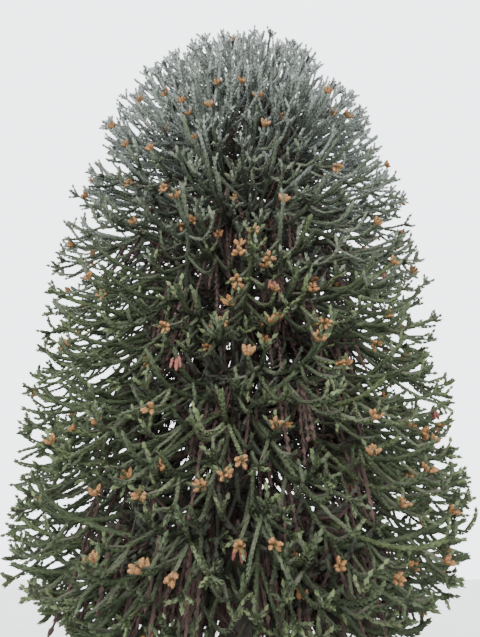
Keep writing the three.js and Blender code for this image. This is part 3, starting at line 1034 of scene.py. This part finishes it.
def apply_relief(limb, kind, scale, strength, group=""):
    """Bark relief from a procedural texture, applied to the mesh."""
    pattern = bpy.data.textures.new(f"{limb.name}_{kind.lower()}", kind)
    pattern.noise_scale = scale
    relief = limb.modifiers.new("relief", "DISPLACE")
    relief.texture = pattern
    relief.texture_coords = "LOCAL"
    relief.strength = strength * METRE
    relief.mid_level = 0.5
    relief.vertex_group = group
    bpy.context.view_layer.objects.active = limb
    bpy.ops.object.modifier_apply(modifier="relief")


def bark_trunk():
    """The trunk with its root swells, and bark relief that fades out towards the flat cut."""
    heights = [TRUNK_TOP * (k / BARK_RINGS) ** RING_CROWDING for k in range(BARK_RINGS + 1)]
    rings = [((trunk_shift(h), 0, h), float(trunk_radius(h))) for h in heights]
    trunk = stack_rings("trunk_bark", BARK_SIDES, rings)
    above = trunk.vertex_groups.new(name="above_ground")
    for vertex in trunk.data.vertices:
        x, y, height = vertex.co[0] / METRE, vertex.co[1] / METRE, vertex.co[2] / METRE
        swell = ROOT_SWELL * math.exp(-height / FLARE_HEIGHT) * math.cos(ROOTS * math.atan2(y, x))
        grown = 1 + swell / max(math.hypot(x, y), 1)
        vertex.co[0] *= grown
        vertex.co[1] *= grown
        above.add([vertex.index], min(max(height - RELIEF_FLOOR, 0) / RELIEF_RISE, 1), "REPLACE")
    for kind, scale, strength in TRUNK_RELIEFS:
        apply_relief(trunk, kind, scale, strength, "above_ground")
    return finish_limb(trunk, "bark")


def finish_limb(limb, finish):
    limb.data.materials.clear()
    limb.data.materials.append(FINISHES[finish])
    limb.data.polygons.foreach_set("use_smooth", [True] * len(limb.data.polygons))
    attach(limb, "root")
    return limb


def bough_blank():
    """A straight tapering bough of length one metre along +X, from which all the others are bent."""
    root, middle, tip = BOUGH_RADII
    radii = np.interp(np.linspace(0, 1, BLANK_RINGS + 1), (0, 0.5, 1), (root, middle, tip))
    rings = [((0, 0, BLANK_LENGTH * k / BLANK_RINGS), float(r)) for k, r in enumerate(radii)]
    blank = stack_rings("bough_blank", BLANK_SIDES, rings)
    apply_relief(blank, "CLOUDS", 0.08, 14)
    bpy.ops.object.mode_set(mode="EDIT")
    bpy.ops.mesh.select_all(action="SELECT")
    bpy.ops.transform.rotate(value=-math.pi / 2, orient_axis="Y", center_override=(0, 0, 0))
    bpy.ops.object.mode_set(mode="OBJECT")
    return blank


def bent_bough(blank, name, line, share, size):
    """A copy of the blank with its own mesh, stretched and bent along a bough's line."""
    shares = np.linspace(0, share, BOUGH_PLACES)
    track = line.points(shares)
    away = np.hypot(track[:, 0] - trunk_shift(track[:, 2]), track[:, 1])
    first = float(np.interp(BOUGH_SUNK * float(trunk_radius(track[0, 2])), away, shares))
    track = line.points(np.linspace(first, share, BOUGH_PLACES))
    length = float(np.linalg.norm(np.diff(track, axis=0), axis=1).sum())
    bough = blank.copy()
    bough.data = blank.data.copy()
    bough.name = bough.data.name = name
    bpy.context.scene.collection.objects.link(bough)
    spots = np.empty(len(bough.data.vertices) * 3)
    bough.data.vertices.foreach_get("co", spots)
    spots = spots.reshape(-1, 3) * (length * METRE, size, size)
    bough.data.vertices.foreach_set("co", spots.ravel())
    path = bpy.data.curves.new("bough_path", "CURVE")
    path.dimensions = "3D"
    spline = path.splines.new("POLY")
    spline.points.add(len(track) - 1)
    for point, spot in zip(spline.points, track * METRE):
        point.co = (*spot, 1)
    route = bpy.data.objects.new("bough_path", path)
    bpy.context.scene.collection.objects.link(route)
    bend = bough.modifiers.new("bend", "CURVE")
    bend.object = route
    bpy.context.view_layer.objects.active = bough
    bpy.ops.object.modifier_apply(modifier="bend")
    bpy.data.objects.remove(route)
    return bough


def bark_boughs(limbs):
    """A piece for each main bough, and one for all the lesser ones."""
    blank = bough_blank()
    lesser = []
    for number, (line, share, size, node) in enumerate(limbs):
        bough = bent_bough(blank, f"{node or 'lesser_' + str(number)}_bark", line, share, size)
        if node is None:
            lesser.append(bough)
        else:
            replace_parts(finish_limb(bough, "bough"), node)
    bpy.data.objects.remove(blank)
    bpy.ops.object.select_all(action="DESELECT")
    for bough in lesser:
        bough.select_set(True)
    bpy.context.view_layer.objects.active = lesser[0]
    bpy.ops.object.join()
    lesser[0].name = "lesser_boughs_bark"
    return finish_limb(lesser[0], "bough")


growth = grow_tree()
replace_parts(bark_trunk(), "trunk")
bark_boughs(growth.limbs)
foliage = dress_foliage(growth)
dress_cones(growth)
masses = [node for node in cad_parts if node.startswith("foliage")]
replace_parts(foliage[0], *masses)

# The floor, the light and the camera

bpy.ops.object.select_all(action="DESELECT")
bpy.ops.mesh.primitive_plane_add(size=400, location=(0, 0, 0))
floor = bpy.context.object
floor.name = "pale_floor"
floor.data.materials.append(tones("pale_ground", (0.62, 0.62, 0.6), (0.68, 0.68, 0.66), 0.6, 0.9))

world = bpy.data.worlds.new("overcast")
bpy.context.scene.world = world
world.use_nodes = True
sky = world.node_tree.nodes["Background"].inputs
sky["Color"].default_value = (0.93, 0.96, 1.0, 1)
sky["Strength"].default_value = 4.2


def lamp(name, place, aim, power, size):
    """A square area lamp at a place, turned to its aim."""
    data = bpy.data.lights.new(name, "AREA")
    data.energy = power
    data.size = size
    made = bpy.data.objects.new(name, data)
    bpy.context.scene.collection.objects.link(made)
    made.location = place
    heading = np.array(aim, float) - np.array(place, float)
    level = math.hypot(heading[0], heading[1])
    turn = math.atan2(heading[1], heading[0]) - math.pi / 2
    made.rotation_euler = (math.atan2(level, -heading[2]), 0, turn)


lamp("front_fill", (-1.5, -14, 6.5), (0, 0, 6), 4300, 7)

camera_data = bpy.data.cameras.new("near_view")
camera_data.sensor_width = 36
camera_data.lens = 27
camera_data.clip_end = 1000
camera = bpy.data.objects.new("near_view", camera_data)
bpy.context.scene.collection.objects.link(camera)
camera.location = (0, -9, 1.6)
camera.rotation_euler = (math.radians(90 + 28.2), 0, 0)
bpy.context.scene.camera = camera
